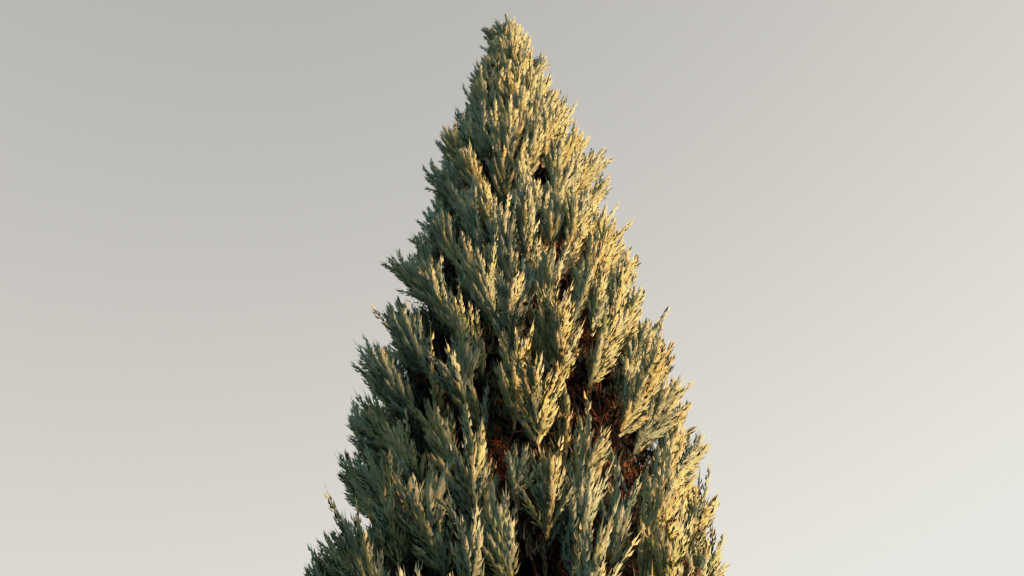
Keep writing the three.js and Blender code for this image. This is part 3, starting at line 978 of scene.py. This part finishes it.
of_lobe = np.repeat(np.arange(lobes), TUFTS_PER_LOBE)
foot_at = (
    lobe_foot[of_lobe]
    + (lobe_axis * lobe_length)[of_lobe] * growth.uniform(*TUFTS_ALONG_LOBE, (len(of_lobe), 1))
    + lobe_side[of_lobe] * growth.normal(0, TUFTS_ASIDE, (len(of_lobe), 1))
)
brown_spots = thin_spots[: len(BROWN_SPOTS)]
spot_out = np.repeat(outward_at(brown_spots[:, :3]), TUFTS_IN_BROWN_SPOT, axis=0)
spot_radius = np.repeat(brown_spots[:, 3:], TUFTS_IN_BROWN_SPOT, axis=0)
spot_at = np.repeat(brown_spots[:, :3], TUFTS_IN_BROWN_SPOT, axis=0)
scatter = growth.normal(0, SPOT_TUFT_SPREAD, (len(spot_out), 3))
spot_at = spot_at + scatter * spot_radius * (1, 1, SPOT_STRETCH)
spot_at = spot_at - spot_out * growth.uniform(*SPOT_TUFT_DEPTHS, (len(spot_out), 1))
outer_at = np.concatenate([foot_at, spot_at])
outer_out = np.concatenate([lobe_out[of_lobe], spot_out])
outer_towards = outer_out + UP * OUTER_LEAN
outer_corners = tufts(outer_at, outer_towards, outer_out, OUTER_LEAVES, OUTER_LEAF, OUTER_SPREAD)
outer_tints = growth.choice(len(OUTER_SHARES), len(outer_at), p=OUTER_SHARES)
outer_slots = np.repeat(outer_tints, OUTER_LEAVES)

spray_materials = [plain_material(n, c, SPRAY_ROUGHNESS) for n, c in SPRAY_TINTS.items()]
for name, corners, slots in (
    ("dead_deep_sprays_painted_shade", deep_corners, deep_slots),
    ("shaded_inner_sprays", inner_corners, inner_slots),
    ("dead_outer_sprays", outer_corners, outer_slots),
):
    sprays = joined_mesh(name, corners, np.arange(len(corners)).reshape(-1, 3), slots, spray_materials)
    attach(sprays, "root")

# ---------------------------------------------------------------------------------------------------
# Floor, light and camera
# The tree stands on a plain pale floor. A low, warm and soft light comes from its right, and a pale, even
# sky fills the rest. The camera is close by, at eye height, and looks up at the crown.
# ---------------------------------------------------------------------------------------------------
FLOOR_SIZE = 60
FLOOR_COLOUR = (0.14, 0.19, 0.22)
FLOOR_GLOW = 0.4, (1, 0.98, 0.95)  # evens out its look, and lights nothing
FLOOR_GIVES_BACK = (0.05, 0.05, 0.045)  # the light that the open ground throws up into the crown
EYE = (-0.068, -2.184, 1.6)
LOOKING_UP = math.radians(45)
LENS_MM = 28
FILM_WIDTH_MM = 36
LIGHT_BEARING = math.radians(70)  # from the camera's side, to the right
LIGHT_HEIGHT = math.radians(8)
LIGHT_STRENGTH = 25
LIGHT_WIDTH = math.radians(30)
LIGHT_COLOUR = (1, 0.46, 0.25)
SKY_BRIGHTENS = (0.15, 0, -0.53)  # towards the horizon, and a little to the right
SKY_LEVEL = 0.98  # brightness at the horizon ahead
SKY_DARK = 0.3, (0.3, 0.298, 0.29)
SKY_LIGHT = 0.98, (0.98, 0.945, 0.87)
SKY_LIGHTS = (1.2, 1.48, 1.75)  # the light it gives over its look, which is a little warmer
BRIGHTEST = 4  # the brightness that shows as full white
HIGHLIGHTS = ((0.78, 0.78), (1.2, 0.9), (2.2, 0.97))  # other brightnesses, and what they show as

deselect_all()
bpy.ops.mesh.primitive_plane_add(size=FLOOR_SIZE, location=(0, 0, 0))
floor = bpy.context.object
floor.name = "floor"
floor_material = plain_material("floor", FLOOR_COLOUR, 0.9)
floor_nodes = floor_material.node_tree.nodes
rays = floor_nodes.new("ShaderNodeLightPath")
seen = floor_nodes.new("ShaderNodeMix")
seen.data_type = "RGBA"
seen.inputs[6].default_value = (*FLOOR_GIVES_BACK, 1)
seen.inputs[7].default_value = (*FLOOR_COLOUR, 1)
floor_material.node_tree.links.new(rays.outputs["Is Camera Ray"], seen.inputs["Factor"])
floor_material.node_tree.links.new(seen.outputs[2], floor_nodes["Principled BSDF"].inputs["Base Color"])
glow = floor_nodes.new("ShaderNodeMath")
glow.operation = "MULTIPLY"
glow.inputs[1].default_value = FLOOR_GLOW[0]
floor_material.node_tree.links.new(rays.outputs["Is Camera Ray"], glow.inputs[0])
floor_material.node_tree.links.new(
    glow.outputs[0], floor_nodes["Principled BSDF"].inputs["Emission Strength"]
)
floor_nodes["Principled BSDF"].inputs["Emission Color"].default_value = (*FLOOR_GLOW[1], 1)
floor.data.materials.append(floor_material)

bpy.ops.object.light_add(type="SUN")
low_light = bpy.context.object
low_light.name = "low_light"
low_light.data.energy = LIGHT_STRENGTH
low_light.data.angle = LIGHT_WIDTH
low_light.data.color = LIGHT_COLOUR
from_light = Vector(
    (
        math.cos(LIGHT_HEIGHT) * math.sin(LIGHT_BEARING),
        -math.cos(LIGHT_HEIGHT) * math.cos(LIGHT_BEARING),
        math.sin(LIGHT_HEIGHT),
    )
)
low_light.rotation_euler = from_light.to_track_quat("Z", "Y").to_euler()

world = bpy.data.worlds.new("sky")
bpy.context.scene.world = world
world.use_nodes = True
sky_nodes, sky_links = world.node_tree.nodes, world.node_tree.links
sky = sky_nodes["Background"]
direction = sky_nodes.new("ShaderNodeTexCoord")
slope = sky_nodes.new("ShaderNodeVectorMath")
slope.operation = "DOT_PRODUCT"
slope.inputs[1].default_value = SKY_BRIGHTENS
sky_links.new(direction.outputs["Generated"], slope.inputs[0])
shade = sky_nodes.new("ShaderNodeValToRGB")
for element, (level, colour) in zip(shade.color_ramp.elements, (SKY_DARK, SKY_LIGHT)):
    element.position, element.color = level, (*colour, 1)
shift = sky_nodes.new("ShaderNodeMath")
shift.inputs[1].default_value = SKY_LEVEL
sky_links.new(slope.outputs["Value"], shift.inputs[0])
sky_links.new(shift.outputs["Value"], shade.inputs["Fac"])
sky_rays = sky_nodes.new("ShaderNodeLightPath")
given = sky_nodes.new("ShaderNodeMix")
given.data_type = "RGBA"
given.blend_type = "MULTIPLY"
given.inputs["Factor"].default_value = 1
given.inputs[7].default_value = (*SKY_LIGHTS, 1)
sky_links.new(shade.outputs["Color"], given.inputs[6])
seen = sky_nodes.new("ShaderNodeMix")
seen.data_type = "RGBA"
sky_links.new(sky_rays.outputs["Is Camera Ray"], seen.inputs["Factor"])
sky_links.new(given.outputs[2], seen.inputs[6])
sky_links.new(shade.outputs["Color"], seen.inputs[7])
sky_links.new(seen.outputs[2], sky.inputs["Color"])

bpy.ops.object.camera_add(location=EYE, rotation=(math.pi / 2 + LOOKING_UP, 0, 0))
camera = bpy.context.object
camera.data.lens = LENS_MM
camera.data.sensor_width = FILM_WIDTH_MM
bpy.context.scene.camera = camera
look = bpy.context.scene.view_settings
look.view_transform = "Standard"
look.use_curve_mapping = True
look.curve_mapping.white_level = (BRIGHTEST,) * 3
softening = look.curve_mapping.curves[3]
softening.points[1].location = (1, 1)
for level, shown in HIGHLIGHTS:
    softening.points.new(level / BRIGHTEST, shown)
for point in softening.points:
    point.handle_type = "VECTOR"
look.curve_mapping.update()
